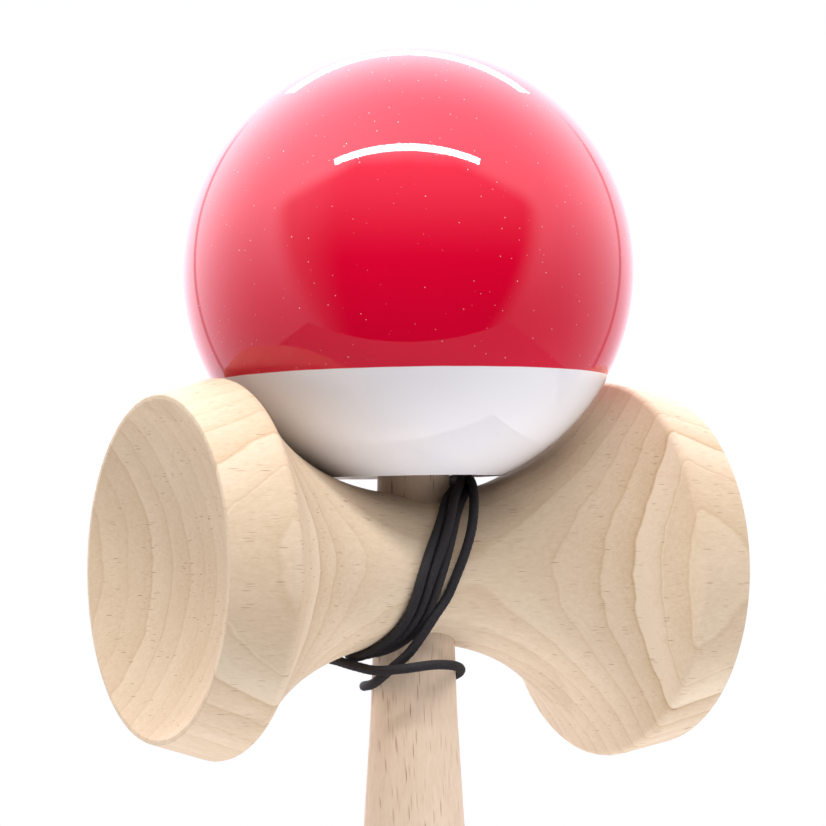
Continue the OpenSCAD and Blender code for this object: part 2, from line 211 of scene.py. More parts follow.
def softened(outline, corners):
    """The outline with each named corner, given by its place in the list, rounded to a radius."""
    points = []
    for i, spot in enumerate(outline):
        if i not in corners:
            points.append(spot)
            continue
        here = Vector(spot)
        back = (Vector(outline[i - 1]) - here).normalized()
        on = (Vector(outline[i + 1]) - here).normalized()
        half = back.angle(on) / 2
        middle = here + (back + on).normalized() * (corners[i] / math.sin(half))
        first = here + back * (corners[i] / math.tan(half))
        last = here + on * (corners[i] / math.tan(half))
        a = math.degrees(math.atan2(*(first - middle).yx))
        b = math.degrees(math.atan2(*(last - middle).yx))
        b += 360 * round((a - b) / 360)
        points += arc(middle, corners[i], a, b, 6)
    return points


def spaced(outline, step):
    """The outline with its long stretches divided."""
    points = [outline[0]]
    for here, on in zip(outline, outline[1:]):
        parts = max(1, math.ceil(math.dist(here, on) / step))
        points += [(here[0] + (on[0] - here[0]) * k / parts, here[1] + (on[1] - here[1]) * k / parts)
                   for k in range(1, parts + 1)]
    return points


def cup_side(stem, slope, shoulder, lip, easing):
    """Outline of a cup from its stem over its hollow flare and eased shoulder to its lip."""
    stem, shoulder, lip = Vector(stem), Vector(shoulder), Vector(lip)
    out = Vector((1, slope)).normalized()
    rise = shoulder - stem
    radius = rise.length_squared / (2 * out.dot(rise))
    centre = stem + radius * out
    band = (lip - shoulder).normalized()
    face = Vector((band.y, -band.x))
    gap = shoulder - easing * face - centre
    along = -gap.dot(band) + math.sqrt(gap.dot(band) ** 2 - gap.length_squared + (radius + easing) ** 2)
    turn = centre + gap + along * band
    touch = centre + (turn - centre) * (radius / (radius + easing))

    def degrees(v):
        return math.degrees(math.atan2(v.y, v.x))

    return (arc(centre, radius, 180 + degrees(out), degrees(touch - centre), 60)
            + arc(turn, easing, degrees(touch - turn), degrees(face), 10)[1:])


def bowl(lip_radius, depth, lip_at, inward):
    """A shallow round bowl from its middle to its lip, whose lip lies at lip_at."""
    radius = (lip_radius ** 2 + depth ** 2) / (2 * depth)
    edge = math.degrees(math.asin(lip_radius / radius))
    middle = lip_at + inward * (depth - radius)
    return [(radius * math.sin(math.radians(a)), middle + inward * radius * math.cos(math.radians(a)))
            for a in np.linspace(0, edge, 44)]


lathe = bpy.data.node_groups.new("lathe", "GeometryNodeTree")
lathe.interface.new_socket("Outline", in_out="INPUT", socket_type="NodeSocketGeometry")
lathe_dial = {title: lathe.interface.new_socket(title, in_out="INPUT", socket_type=kind).identifier
              for title, kind in (("Facets", "NodeSocketInt"), ("Axis turn", "NodeSocketVector"),
                                  ("Seat", "NodeSocketVector"), ("Finish", "NodeSocketMaterial"))}
lathe.interface.new_socket("Turned", in_out="OUTPUT", socket_type="NodeSocketGeometry")
blank = put(lathe, "NodeGroupInput").outputs
around = put(lathe, "FunctionNodeIntegerMath", {0: blank["Facets"], 1: 1}, operation="ADD").outputs[0]
rows = put(lathe, "GeometryNodeAttributeDomainSize", {0: blank["Outline"]}).outputs["Point Count"]
skin = put(lathe, "GeometryNodeMeshGrid", {"Vertices X": rows, "Vertices Y": around}).outputs[0]
count = put(lathe, "GeometryNodeInputIndex").outputs[0]
row = put(lathe, "FunctionNodeIntegerMath", {0: count, 1: around}, operation="DIVIDE_FLOOR").outputs[0]
facet = put(lathe, "FunctionNodeIntegerMath", {0: count, 1: around}, operation="MODULO").outputs[0]
tool = put(lathe, "GeometryNodeSampleIndex", data_type="FLOAT_VECTOR")
lathe.links.new(blank["Outline"], tool.inputs["Geometry"])
lathe.links.new(put(lathe, "GeometryNodeInputPosition").outputs[0], tool.inputs["Value"])
lathe.links.new(row, tool.inputs["Index"])
swing = reckon(lathe, "MULTIPLY", reckon(lathe, "DIVIDE", facet, blank["Facets"]), 2 * math.pi)
spun = put(lathe, "ShaderNodeVectorRotate", {"Vector": tool.outputs[0], "Angle": swing},
           rotation_type="Z_AXIS")
shaped = put(lathe, "GeometryNodeSetPosition", {"Geometry": skin, "Position": spun.outputs[0]}).outputs[0]
closed = put(lathe, "GeometryNodeMergeByDistance", {"Geometry": shaped, "Distance": 0.001 * mm}).outputs[0]
facing = put(lathe, "FunctionNodeEulerToRotation", {0: blank["Axis turn"]}).outputs[0]
seated = put(lathe, "GeometryNodeTransform", {
    "Geometry": closed, "Translation": blank["Seat"], "Rotation": facing}).outputs[0]
polished = put(lathe, "GeometryNodeSetShadeSmooth", {"Geometry": seated}).outputs[0]
real = put(lathe, "GeometryNodeRealizeInstances", {0: polished}).outputs[0]
put(lathe, "NodeGroupOutput", {0: put(lathe, "GeometryNodeSetMaterial", {
    "Geometry": real, "Material": blank["Finish"]}).outputs[0]})


def face_outwards(mesh):
    """Turns all faces of a closed mesh outwards."""
    shell = bmesh.new()
    shell.from_mesh(mesh)
    bmesh.ops.recalc_face_normals(shell, faces=shell.faces)
    shell.to_mesh(mesh)
    shell.free()


def plain_mesh(piece):
    """Keeps what the piece's modifiers make as its own mesh, with its faces pointing outwards."""
    made = bpy.data.meshes.new_from_object(piece.evaluated_get(bpy.context.evaluated_depsgraph_get()))
    piece.modifiers.clear()
    piece.data = made
    face_outwards(made)


def in_scene(name, data):
    """A new object in the scene."""
    made = bpy.data.objects.new(name, data)
    bpy.context.scene.collection.objects.link(made)
    return made


def turned(name, outline, finish, facets=192, axis_turn=(0, 0, 0), seat=(0, 0, 0)):
    """A piece of revolution made on the lathe from its outline of [radius, height]."""
    line = bpy.data.meshes.new(name)
    line.from_pydata([(r, 0, h) for r, h in outline], [(i, i + 1) for i in range(len(outline) - 1)], [])
    piece = in_scene(name, line)
    cut = piece.modifiers.new("lathe", "NODES")
    cut.node_group = lathe
    for title, value in (("Facets", facets), ("Axis turn", axis_turn), ("Seat", seat), ("Finish", finish)):
        cut[lathe_dial[title]] = value
    bpy.context.view_layer.update()
    plain_mesh(piece)
    return piece


def drilled(piece, *drills):
    """Takes the drills out of the piece, and keeps the edges of the holes crisp."""
    for cutter in drills:
        hole = piece.modifiers.new("hole", "BOOLEAN")
        hole.operation, hole.solver, hole.object = "DIFFERENCE", "EXACT", cutter
    bpy.context.view_layer.update()
    plain_mesh(piece)
    for cutter in drills:
        bpy.data.objects.remove(cutter)
    piece.data.set_sharp_from_angle(angle=math.radians(38))


def drill(name, low, high, low_r, high_r, finish, facets, axis_turn):
    """A straight or tapered drill, from low to high along its axis from the middle of the cross-piece."""
    outline = [(0, low), (low_r, low), (high_r, high), (0, high)]
    return turned(name, outline, finish, facets, axis_turn, (0, 0, axis_h))


axis_h = 114 * mm
string_hole_r = 1.2 * mm
ball_h = 153.518 * mm
tip_h = 162.018 * mm
collar = (5.4 * mm, axis_h - 11 * mm)
spike_root = (4.79 * mm, axis_h + 9.9 * mm)
tenon_slope = (spike_root[0] - collar[0]) / (spike_root[1] - collar[1])
grip = (6.14 * mm, axis_h - 26.5 * mm)
neck = (9.8 * mm, 30 * mm)
grip_slope = (grip[0] - neck[0]) / (grip[1] - neck[1])
nose_r, nose_len = 3.9 * mm, 12 * mm
base_shoulder, base_lip_r = (19.8 * mm, -8.5 * mm), 18.6 * mm
shoulder_ease, lip_step = 1.2 * mm, 0.3 * mm
outline_step = 1.2 * mm

pull = 0.45 * (collar[1] - grip[1])
bends = (grip, (grip[0] + grip_slope * pull, grip[1] + pull),
         (collar[0] - tenon_slope * pull, collar[1] - pull), collar)
collar_curve = [tuple(sum(w * b[k] for w, b in zip(
    ((1 - t) ** 3, 3 * t * (1 - t) ** 2, 3 * t * t * (1 - t), t ** 3), bends)) for k in (0, 1))
    for t in np.linspace(0, 1, 17)]
base_bowl = bowl(17.3 * mm, 6.5 * mm, 0, 1)
base_flare = [(r, -h) for r, h in cup_side(
    (neck[0], -neck[1]), grip_slope, base_shoulder, (base_lip_r, -lip_step), shoulder_ease)][::-1]
nose = [(nose_r * math.cos(t), tip_h - nose_len + nose_len * math.sin(t))
        for t in np.linspace(0, math.pi / 2, 25)]
nose[-1] = (0, tip_h)
handle_outline = base_bowl + [(base_lip_r, 0)] + base_flare + collar_curve + [spike_root] + nose
handle_outline = softened(handle_outline, {len(base_bowl) - 1: 0.35 * mm, len(base_bowl): 0.45 * mm})
handle_beech = beech(
    "handle_beech", (0, math.pi / 2, 0), (0, 0, 0), layer=3.4 * mm, first_layer=1.2 * mm, layer_depth=0.35,
    fleck_length=5 * mm, fleck_share=0.95, fleck_depth=1.3, fleck=(0.25, 0.10, 0.04, 1),
    pale=(0.78, 0.63, 0.49, 1), deep=(0.56, 0.392, 0.258, 1))
handle = turned("handle", spaced(handle_outline, outline_step), handle_beech, facets=144)
past_tenon = 7 * mm
cross_drill = drill("cross_drill", -past_tenon, past_tenon, string_hole_r, string_hole_r, handle_beech, 32,
                    (math.pi / 2, 0, 0))
drilled(handle, cross_drill)
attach(handle, "ken")
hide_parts("ken_handle")

# Cross-piece
# One length of beech turned with its grain along the two cups, which are unlike in size.
# Its tapered socket is pushed onto the handle's tenon, and the string leaves it at the back.
half_length, shoulder_at = 37 * mm, 28.6 * mm
waist = (9.85 * mm, 1.5 * mm)
small_shoulder_r, small_lip_r = 24.35 * mm, 21.9 * mm
big_shoulder_r, big_lip_r = 25.35 * mm, 23.7 * mm
lip_edge = half_length - lip_step
small_bowl = bowl(21.3 * mm, 9.8 * mm, -half_length, 1)
big_bowl = bowl(23.1 * mm, 10.7 * mm, half_length, -1)
small_side = [(r, -h) for r, h in cup_side(
    waist, 0, (small_shoulder_r, shoulder_at), (small_lip_r, lip_edge), shoulder_ease)][::-1]
big_side = cup_side(waist, 0, (big_shoulder_r, shoulder_at), (big_lip_r, lip_edge), shoulder_ease)
cross_outline = (small_bowl + [(small_lip_r, -half_length)] + small_side + big_side
                 + [(big_lip_r, half_length)] + big_bowl[::-1])
small_lip, big_lip = len(small_bowl), len(small_bowl) + 1 + len(small_side) + len(big_side)
cross_outline = softened(cross_outline, {
    small_lip - 1: 0.2 * mm, small_lip: 0.25 * mm, big_lip: 0.25 * mm, big_lip + 1: 0.2 * mm})
cross_beech = beech(
    "cross_piece_beech", (0, 0, 0), (0, 0, -axis_h), layer=2.9 * mm, first_layer=-23.7 * mm,
    layer_depth=0.68, fleck_length=3.2 * mm, fleck_share=0.35)
cross_piece = turned("cross_piece", spaced(cross_outline, outline_step), cross_beech, 224,
                     (0, math.pi / 2, 0), (0, 0, axis_h))
reach = 11 * mm
socket_gap = 0.04 * mm
socket_low, socket_top = (collar[0] + tenon_slope * (axis_h + end - collar[1]) + socket_gap
                          for end in (-reach, reach))
reamer = drill("reamer", -reach, reach, socket_low, socket_top, cross_beech, 96, (0, 0, 0))
string_drill = drill("string_drill", 0, reach, string_hole_r, string_hole_r, cross_beech, 32,
                     (-math.pi / 2, 0, 0))
drilled(cross_piece, reamer, string_drill)
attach(cross_piece, "ken")
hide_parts("sarado_cross_piece")

# String
# One length of thin black braid: knotted in the handle, out at the back of the waist, wound round it,
# hitched once round the handle, then up behind the ball, in at its crown and knotted under the bead.
string_d = 1.25 * mm
string_air = 0.05 * mm
snug_step, flat_step = 1.30 * mm, 1.36 * mm
stack_angle = 48
spread_from, spread_over, stack_from, stack_over = 50, 58, 290, 60
front_passes = 4
out_of_hole = [(0, 0.00985, 0), (0, 0.01115, 0), (0.0002, 0.0125, 0.0007), (0.0008, 0.0129, 0.0024),
               (0.0019, 0.0121, 0.005)]
loose_x = (0.0089, 0.0079, 0.0063, 0.0044, 0.00255, 0.0007, -0.0007, -0.0018, -0.0026)
lay_x = (0.0073, 0.0017, -0.00255, -0.0047, -0.0075, -0.0035, 0.0039, 0.0062)
hitch = [
    (-0.0021, -0.0094, -0.0060), (-0.0034, -0.0085, -0.0084), (-0.0046, -0.0070, -0.0108),
    (-0.0063, -0.0054, -0.0128), (-0.0070, -0.0021, -0.0147), (-0.0064, 0.0016, -0.0152),
    (-0.0042, 0.005, -0.0153), (0, 0.0066, -0.0150), (0.0043, 0.0048, -0.0146),
    (0.0062, 0.0008, -0.0141), (0.0050, -0.0036, -0.0132), (0.0022, -0.0067, -0.0125),
    (-0.0016, -0.0082, -0.0123), (-0.0056, -0.0080, -0.0127), (-0.0082, -0.0050, -0.0130),
    (-0.0096, -0.0018, -0.0125), (-0.0104, 0.0014, -0.0119), (-0.0109, 0.0042, -0.0114),
    (-0.0113, 0.0072, -0.0099), (-0.0114, 0.0104, -0.0067), (-0.0112, 0.0123, -0.0024),
    (-0.0108, 0.0133, 0.0006)]
lead = [
    (-0.0102, 0.0144, 0.004), (-0.0092, 0.0178, 0.0104), (-0.0082, 0.0216, 0.0168),
    (-0.0071, 0.0256, 0.023), (-0.0064, 0.0285, 0.0284), (-0.0056, 0.0302, 0.0342),
    (-0.004, 0.0303, 0.0449), (-0.0021, 0.0267, 0.0548), (-0.0004, 0.0199, 0.0629),
    (0.0008, 0.0114, 0.0682), (0.0007, 0.0066, 0.06965), (0.0003, 0.0041, 0.07000),
    (-0.0003, 0.0021, 0.06962), (-0.0006, 0.0009, 0.06890), (-0.0008, 0.0002, 0.0677),
    (-0.0008, 0, 0.0662), (-0.0008, 0, 0.0645)]
ball_axis = -0.8 * mm
bead_low, bead_top = 167.768 * mm, 173.268 * mm


def smooth(t):
    """t from 0 to 1 with its ends eased."""
    t = min(max(t, 0), 1)
    return t * t * (3 - 2 * t)


def through(a, b, c, d, t):
    """A smooth curve through four values or points, between the middle two."""
    return (2 * b + (c - a) * t + (2 * a - 5 * b + 4 * c - d) * t ** 2 + (3 * b - a - 3 * c + d) * t ** 3) / 2


def waist_radius(x):
    """Radius of the cross-piece under the string."""
    drop = (small_shoulder_r if x < 0 else big_shoulder_r) - waist[0]
    run = shoulder_at - waist[1]
    flare = (drop ** 2 + run ** 2) / (2 * drop)
    return waist[0] + flare - math.sqrt(flare ** 2 - max(abs(x) - waist[1], 0) ** 2)


def lay(angle):
    """Middle of all the turns along X at an angle from the top towards the front."""
    q = angle % 360 / 45
    i = int(q)
    return through(lay_x[i - 1], lay_x[i % 8], lay_x[(i + 1) % 8], lay_x[(i + 2) % 8], q - i)


def wound(angle):
    """Middle of the string at an angle counted through all its turns, from the top towards the front."""
    turn = angle / 360
    passed = math.floor(turn + 0.25)
    q = angle % 360
    stacked = 1 - smooth((q - spread_from) / spread_over) + smooth((q - stack_from) / stack_over)
    nest = math.radians(stack_angle * stacked)
    step = flat_step + (snug_step - flat_step) * stacked
    slant = math.atan2((lay(angle + 1) - lay(angle - 1)) * 90 / math.pi,
                       waist_radius(lay(angle)) + string_air + string_d / 2)
    x = lay(angle) + step * math.cos(nest) / math.cos(slant) * (turn - 1.5)
    if passed == front_passes - 1:
        since = angle - 360 * passed
        q = min(max(since / 22.5 + 1, 0), 6.999)
        i = int(q)
        loose = through(loose_x[max(i - 1, 0)], loose_x[i], loose_x[i + 1], loose_x[i + 2], q - i)
        x += (loose - x) * smooth((since + 50) / 50)
    r = waist_radius(x) + string_air + string_d / 2 + passed % 2 * step * math.sin(nest)
    return x, -r * math.sin(math.radians(angle)), r * math.cos(math.radians(angle))


first_angle, last_angle = -40, 360 * (front_passes - 1) + 110
windings = round((last_angle - first_angle) / 15)
turns = [wound(first_angle + (last_angle - first_angle) * i / windings) for i in range(windings + 1)]
tail_end = bead_low - axis_h - 0.4 * mm
route = ([(0, -0.6 * mm, 0), (0, 3 * mm, 0), (0, 6.5 * mm, 0)] + out_of_hole + turns + hitch + lead
         + [(ball_axis, 0, 0.061), (ball_axis, 0, 0.057), (ball_axis, 0, tail_end)])
knots = np.array([tuple(2 * np.array(route[0]) - np.array(route[1]))] + route
                 + [tuple(2 * np.array(route[-1]) - np.array(route[-2]))])
fine = np.array([through(*knots[i:i + 4], t) for i in range(len(knots) - 3)
                 for t in np.linspace(0, 1, 12, False)] + [knots[-2]])
travel = np.r_[0, np.cumsum(np.linalg.norm(np.diff(fine, axis=0), axis=1))]
string_length = travel[-1]
ring_step = 0.18 * mm
rings = round(string_length / ring_step)
stations = np.linspace(0, string_length, rings + 1)
middle = np.stack([np.interp(stations, travel, fine[:, k]) for k in range(3)], 1) + (0, 0, axis_h)
headings = np.gradient(middle, axis=0)
headings /= np.linalg.norm(headings, axis=1)[:, None]
sides = np.empty_like(middle)
side = np.array((1.0, 0, 0))
for i, heading in enumerate(headings):
    side = side - side.dot(heading) * heading
    side /= np.linalg.norm(side)
    sides[i] = side
others = np.cross(headings, sides)
braid_sides, braid_strands, braid_pitch = 24, 6, 0.92 * mm
braid_tile = 60 * mm
turn_share = np.arange(braid_sides) / braid_sides
left_hand = braid_strands * turn_share[None, :] + stations[:, None] / braid_pitch
right_hand = braid_strands * turn_share[None, :] - stations[:, None] / braid_pitch
pillow = np.sqrt(np.abs(np.sin(math.pi * left_hand) * np.sin(math.pi * right_hand)))
girth = string_d / 2 + 0.05 * mm * (pillow - 0.55)
points = middle[:, None, :] + girth[:, :, None] * (
    np.cos(2 * math.pi * turn_share)[None, :, None] * sides[:, None, :]
    + np.sin(2 * math.pi * turn_share)[None, :, None] * others[:, None, :])
walls = [(i * braid_sides + k, i * braid_sides + (k + 1) % braid_sides,
          (i + 1) * braid_sides + (k + 1) % braid_sides, (i + 1) * braid_sides + k)
         for i in range(rings) for k in range(braid_sides)]
caps = [tuple(range(braid_sides))[::-1], tuple(rings * braid_sides + k for k in range(braid_sides))]
braid = bpy.data.meshes.new("string")
braid.from_pydata(points.reshape(-1, 3).tolist(), [], walls + caps)
braid_map = braid.uv_layers.new(name="braid")
for face in braid.polygons:
    for corner, loop in enumerate(face.loop_indices):
        i, k = divmod(braid.loops[loop].vertex_index, braid_sides)
        if face.index < len(walls) and corner in (1, 2) and k == 0:
            k = braid_sides
        braid_map.data[loop].uv = (k / braid_sides, stations[i] / braid_tile)
braid.polygons.foreach_set("use_smooth", [True] * len(braid.polygons))
string = in_scene("string", braid)

string_black, yarn, yarn_surface = new_finish("string_black")


def wave(count, waves=1):
    """Sine of a count of half turns, taken this many times."""
    return reckon(yarn, "SINE", reckon(yarn, "MULTIPLY", count, waves * math.pi))


along = put(yarn, "ShaderNodeSeparateXYZ", {
    0: put(yarn, "ShaderNodeUVMap", uv_map="braid").outputs[0]}).outputs
strand = reckon(yarn, "MULTIPLY", along[0], float(braid_strands))
advance = reckon(yarn, "MULTIPLY", along[1], braid_tile / braid_pitch)
lefts = reckon(yarn, "ADD", strand, advance)
rights = reckon(yarn, "SUBTRACT", strand, advance)
over = reckon(yarn, "GREATER_THAN", reckon(yarn, "MULTIPLY", wave(lefts), wave(rights)), 0.0)
ply = wave(between(yarn, over, lefts, rights), 10)
fuzz = put(yarn, "ShaderNodeTexNoise", {
    "Vector": put(yarn, "ShaderNodeTexCoord").outputs["Object"], "Scale": 5200.0, "Detail": 2.0}).outputs[0]
# The black is lightened on the braid's crests and in fine fuzz: a painted sheen. The same values also give
# the braid's bump.
sheen = reckon(yarn, "MULTIPLY_ADD", ply, 0.18, fuzz)
black_with_painted_sheen = blended(yarn, eased(yarn, sheen, 0.35, 0.95), (0.011, 0.0103, 0.012, 1), (0.040, 0.037, 0.041, 1))
yarn.links.new(black_with_painted_sheen, yarn_surface.inputs["Base Color"])
yarn.links.new(reckon(yarn, "MULTIPLY_ADD", fuzz, 0.3, 0.62), yarn_surface.inputs["Roughness"])
yarn_relief = put(yarn, "ShaderNodeBump", {"Height": sheen, "Strength": 0.6, "Distance": 0.02 * mm})
yarn.links.new(yarn_relief.outputs[0], yarn_surface.inputs["Normal"])
yarn_surface.inputs["IOR"].default_value = 1.4
braid.materials.append(string_black)


def stopper_knot(name, centre, body):
    """A pulled-up overhand knot: a short closed trefoil of the same string."""
    size, thick, steps, round_steps = 0.42 * mm, 0.55 * mm, 72, 12
    loop = [Vector(((2 + math.cos(3 * t)) * math.cos(2 * t), (2 + math.cos(3 * t)) * math.sin(2 * t),
                    1.7 * math.sin(3 * t))) * size for t in np.linspace(0, 2 * math.pi, steps, False)]
    spots = []
    for i, spot in enumerate(loop):
        ahead = (loop[(i + 1) % steps] - loop[i - 1]).normalized()
        aside = ahead.cross(spot).normalized()
        upright = aside.cross(ahead)
        spots += [Vector(centre) + spot + thick * (math.cos(a) * aside + math.sin(a) * upright)
                  for a in np.linspace(0, 2 * math.pi, round_steps, False)]
    faces = [(i * round_steps + k, i * round_steps + (k + 1) % round_steps,
              (i + 1) % steps * round_steps + (k + 1) % round_steps, (i + 1) % steps * round_steps + k)
             for i in range(steps) for k in range(round_steps)]
    mesh = bpy.data.meshes.new(name)
    mesh.from_pydata(spots, [], faces)
    coil = mesh.uv_layers.new(name="braid")
    for face in mesh.polygons:
        for corner, at in enumerate(face.loop_indices):
            i, k = divmod(face.index, round_steps)
            coil.data[at].uv = ((k + (corner in (1, 2))) / round_steps, (i + (corner in (2, 3))) / steps / 3)
    mesh.polygons.foreach_set("use_smooth", [True] * len(mesh.polygons))
    mesh.materials.append(string_black)
    face_outwards(mesh)
    knot = in_scene(name, mesh)
    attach(knot, body)
    return knot


anchor_knot = stopper_knot("anchor_knot", (0, -3 * mm, axis_h), "ken")
end_knot = stopper_knot("end_knot", (ball_axis, 0, bead_low - 1.6 * mm), "bead")
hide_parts("string_anchor", "string_winding", "string_lead", "string_tail")
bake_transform(string)

# Swivel bead
# A small turned bead at the end of the ball's bore that the end knot pulls against.
# The ball turns round it, so that the string isn't twisted in play.
bead_r, bead_hole, bead_ease = 3.75 * mm, 1.1 * mm, 1.2 * mm
bead_outline = ([(bead_hole, bead_low)]
                + arc((bead_r - bead_ease, bead_low + bead_ease), bead_ease, -90, 0, 10)
                + arc((bead_r - bead_ease, bead_top - bead_ease), bead_ease, 0, 90, 10)
                + [(bead_hole, bead_top), (bead_hole, bead_low)])
bead = turned("swivel_bead_turned", spaced(bead_outline, 0.8 * mm), handle_beech, 48, seat=(ball_axis, 0, 0))
bead.data.set_sharp_from_angle(angle=math.radians(50))
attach(bead, "bead")
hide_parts("swivel_bead")

# Ball
# A turned wooden ball, bored for the spike, dipped in red lacquer with a white band round its mouth.
# The bore and its bevel are bare wood; the gloss coat has a few grains of dust caught in it.
ball_r = 30 * mm
mouth_r, mouth_land, mouth_bevel, bore_r = 12 * mm, 0.35 * mm, 1.5 * mm, 10.5 * mm
crown_hole, sink_r, sink_depth = 1.5 * mm, 4.5 * mm, 2 * mm
mouth_h = ball_h - math.sqrt(ball_r ** 2 - mouth_r ** 2)
bore_end = ball_h + 20 * mm
crown_h = ball_h + ball_r
sink_slope = (sink_r - crown_hole) / sink_depth
low, high = 0.0, ball_r
for _ in range(40):
    rim = (low + high) / 2
    on_ball = ball_h + math.sqrt(ball_r ** 2 - rim ** 2)
    on_sink = crown_h - sink_depth + (rim - crown_hole) / sink_slope
    low, high = (rim, high) if on_sink < on_ball else (low, rim)
sink_rim = (rim, ball_h + math.sqrt(ball_r ** 2 - rim ** 2))
from_crown = math.degrees(math.asin(sink_rim[0] / ball_r))
to_mouth = 180 - math.degrees(math.asin(mouth_r / ball_r))
skin_line = [(ball_r * math.sin(math.radians(a)), ball_h + ball_r * math.cos(math.radians(a)))
             for a in np.linspace(from_crown, to_mouth, 150)]
bore_line = [(mouth_r - mouth_land, mouth_h), (bore_r, mouth_h + mouth_bevel), (bore_r, bore_end),
             (crown_hole, bore_end), (crown_hole, crown_h - sink_depth), skin_line[0]]
ball_outline = skin_line + bore_line
mouth_at = len(skin_line) - 1
ball_outline = softened(ball_outline, {
    mouth_at: 0.12 * mm, mouth_at + 1: 0.15 * mm, mouth_at + 2: 0.3 * mm, mouth_at + 3: 0.5 * mm,
    mouth_at + 4: 0.2 * mm, mouth_at + 5: 0.2 * mm})

# Level directions to the viewer and to the viewer's right
toward = Vector((-0.4838, -0.8752, 0))
rightward = Vector((0.8752, -0.4838, 0))

lacquer, dip, gloss = new_finish("red_and_white_lacquer")
on_object = put(dip, "ShaderNodeTexCoord").outputs["Object"]
spot = put(dip, "ShaderNodeSeparateXYZ", {0: on_object}).outputs
# The white band's edge lies a little askew, as the ball was masked by hand
askew = math.tan(math.radians(0.85))
edge_x = reckon(dip, "MULTIPLY", spot[0], -rightward.x * askew)
edge_y = reckon(dip, "MULTIPLY", spot[1], -rightward.y * askew)
mask_wave = about_zero(dip, put(dip, "ShaderNodeTexNoise", {
    "Vector": on_object, "Scale": 160.0, "Detail": 1.0}).outputs[0], 0.14 * mm)
above = reckon(dip, "ADD", reckon(dip, "ADD", spot[2], mask_wave), reckon(dip, "ADD", edge_x, edge_y))
band_drop, band_blur = 14.75 * mm, 0.05 * mm
is_red = eased(dip, above, ball_h - band_drop - band_blur, ball_h - band_drop + band_blur)
pigment = put(dip, "ShaderNodeTexNoise", {"Vector": on_object, "Scale": 70.0, "Detail": 3.0}).outputs[0]
red = blended(dip, pigment, (0.66, 0.0012, 0.026, 1), (0.72, 0.0020, 0.032, 1))
white = blended(dip, pigment, (0.86, 0.84, 0.86, 1), (0.90, 0.88, 0.895, 1))
coat = blended(dip, is_red, white, red)
dust_cells = put(dip, "ShaderNodeTexVoronoi", {"Vector": on_object, "Scale": 1050.0})
dust_chance = put(dip, "ShaderNodeSeparateColor", {0: dust_cells.outputs["Color"]}).outputs
dust = reckon(dip, "MULTIPLY", eased(dip, dust_cells.outputs["Distance"], 0.10, 0.05),
              reckon(dip, "LESS_THAN", dust_chance[0], 0.9))
dust = reckon(dip, "MULTIPLY", dust, reckon(dip, "POWER", dust_chance[1], 1.8))
dusted = blended(dip, dust, coat, (0.85, 0.62, 0.62, 1))
dip.links.new(dusted, gloss.inputs["Base Color"])
dip.links.new(reckon(dip, "MULTIPLY_ADD", dust, 0.5, 0.03), gloss.inputs["Roughness"])
peel = put(dip, "ShaderNodeTexNoise", {"Vector": on_object, "Scale": 210.0, "Detail": 1.0}).outputs[0]
dip_relief = put(dip, "ShaderNodeBump", {
    "Height": reckon(dip, "ADD", reckon(dip, "MULTIPLY", peel, 0.10), dust),
    "Strength": 0.12, "Distance": 0.05 * mm})
dip.links.new(dip_relief.outputs[0], gloss.inputs["Normal"])
gloss.inputs["IOR"].default_value = 1.53

bore_beech = beech("bore_beech", (0, math.pi / 2, 0), (0, 0, 0), layer=3.1 * mm, layer_depth=0.5,
                   pale=(0.70, 0.53, 0.38, 1), deep=(0.48, 0.31, 0.19, 1))
ball = turned("ball", spaced(ball_outline, 0.9 * mm), lacquer, 208, seat=(ball_axis, 0, 0))
ball.data.materials.append(bore_beech)
bare_r, bare_top = mouth_r - 0.25 * mm, bore_end + 4 * mm
for face in ball.data.polygons:
    from_axis = math.hypot(face.center.x - ball_axis, face.center.y)
    if from_axis < bare_r and face.center.z < bare_top:
        face.material_index = 1
ball.data.set_sharp_from_angle(angle=math.radians(40))
# It leans a little on the spike, down at the front and towards the small cup
ball_middle = Vector((ball_axis, 0, ball_h))
lean_aside, lean_forward = math.radians(0.9), math.radians(0.7)
lean = Matrix.Rotation(lean_aside, 4, toward) @ Matrix.Rotation(lean_forward, 4, rightward)
ball.data.transform(Matrix.Translation(ball_middle) @ lean @ Matrix.Translation(-ball_middle))
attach(ball, "tama")
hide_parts("tama_ball")

# Ground and light
# A pale table in a white light tent that is open towards the camera, with two lamp strips in its roof.
# Seen directly the tent is plain white; in the ball's gloss its open side and a seam at its back show dark.
table_front, table_back, table_half = 0.185, 0.5, 0.25
table_top = bmesh.new()
table_top.faces.new([table_top.verts.new(toward * f + rightward * s) for f, s in (
    (table_front, -table_half), (table_front, table_half),
    (-table_back, table_half), (-table_back, -table_half))])
table_mesh = bpy.data.meshes.new("table")
table_top.to_mesh(table_mesh)
table_top.free()
table = in_scene("table", table_mesh)
paper, sheet, sheet_surface = new_finish("white_paper")
sheet_surface.inputs["Base Color"].default_value = (0.56, 0.56, 0.56, 1)
sheet_surface.inputs["Roughness"].default_value = 0.8
on_table = put(sheet, "ShaderNodeTexCoord").outputs["Object"]
from_middle = put(sheet, "ShaderNodeVectorMath", {0: on_table}, operation="LENGTH").outputs["Value"]
sheet_rays = put(sheet, "ShaderNodeLightPath").outputs
seen = reckon(sheet, "MULTIPLY", eased(sheet, from_middle, 0.06, 0.18), sheet_rays["Is Camera Ray"])
plain_white = put(sheet, "ShaderNodeEmission", {"Color": (1, 1, 1, 1), "Strength": 1.0})
# Painted shade: in the ball's gloss the paper shows as a dim grey, darker than it is lit
paper_dimmed_in_gloss = put(sheet, "ShaderNodeBsdfDiffuse", {"Color": (0.27, 0.235, 0.27, 1)})
paper_seen = put(sheet, "ShaderNodeMixShader", {
    0: sheet_rays["Is Glossy Ray"], 1: sheet_surface.outputs[0], 2: paper_dimmed_in_gloss.outputs[0]})
